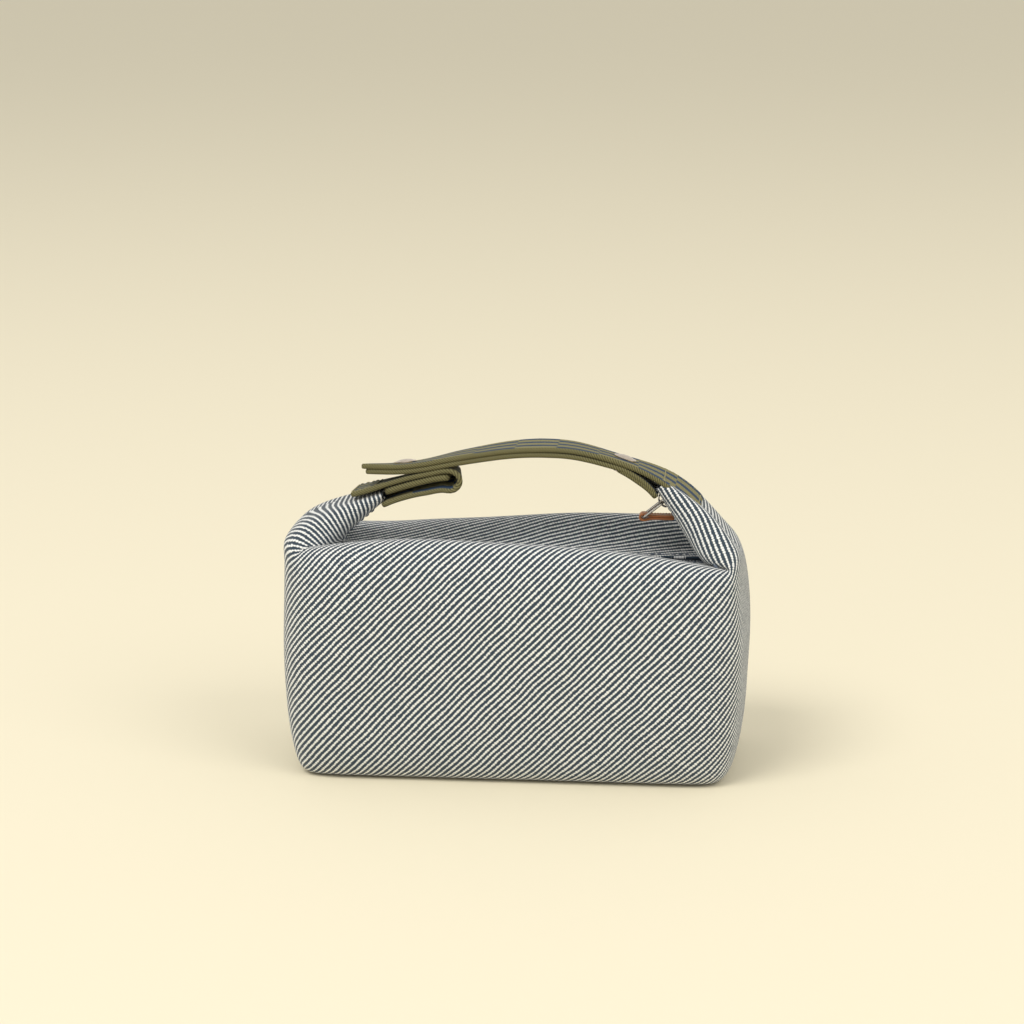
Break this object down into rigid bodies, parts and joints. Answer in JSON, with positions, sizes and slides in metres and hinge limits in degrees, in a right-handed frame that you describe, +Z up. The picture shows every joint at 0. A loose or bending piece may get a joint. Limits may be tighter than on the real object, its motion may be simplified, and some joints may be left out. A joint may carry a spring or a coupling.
{
  "type": "zipped travel pouch",
  "caption": "Soft box-shaped zipped pouch of striped twill with raised corners, a zip along the top and a webbing handle that snaps on at one side.",
  "frame": {"origin": "middle of the underside, on the floor", "axes": "+Z up, X along the pouch with the handle's fixed end at +X, front at -Y"},
  "size_m": [0.2296, 0.1036, 0.16],
  "materials": {
    "twill": "thick matte twill, raised white lines on slate navy",
    "lining": "matte cotton",
    "zip_tape": "matte woven tape",
    "zip_teeth": "satin",
    "webbing": "matte ribbed webbing, olive with blue lines",
    "snap_metal": "polished",
    "pull_metal": "polished",
    "pull_leather": "smooth, waxed edge"
  },
  "bodies": {
    "case": {"front_panel": "twill", "back_panel": "twill", "lining_front": "lining", "lining_back": "lining", "zip_tape_front": "zip_tape", "zip_tape_back": "zip_tape", "zip_chain_front": "zip_teeth", "zip_chain_back": "zip_teeth", "zip_top_stop": "zip_teeth", "zip_bottom_stop": "zip_teeth", "left_tab_webbing": "webbing", "left_tab_core": "webbing", "left_snap_stud": "snap_metal", "right_strap_end": "webbing", "right_tab_webbing": "webbing"},
    "handle": {"handle_webbing_upper": "webbing", "handle_webbing_lower": "webbing", "left_snap_cap": "snap_metal", "left_snap_socket": "snap_metal", "right_snap_cap": "snap_metal", "right_snap_washer": "snap_metal"},
    "slider": {"zip_slider": "pull_metal"},
    "link": {"pull_link": "pull_metal"},
    "leather": {"pull_leather": "pull_leather"}
  },
  "joints": [
    {"name": "handle_swing", "type": "hinge", "parent": "case", "child": "handle", "pos_m": [0.0635, 0, 0.1466], "axis": [0, 1, 0], "range_deg": [0, 100]},
    {"name": "slider_travel", "type": "slide", "parent": "case", "child": "slider", "axis": [0.5736, 0, -0.8192], "range_m": [0, 0.012]},
    {"name": "pull_swing", "type": "hinge", "parent": "slider", "child": "link", "pos_m": [0.07148, 0, 0.1321], "axis": [0, 1, 0], "range_deg": [0, 30]},
    {"name": "leather_swing", "type": "hinge", "parent": "link", "child": "leather", "pos_m": [0.06177, 0, 0.12423], "axis": [0, 1, 0], "range_deg": [0, 40]}
  ]
}
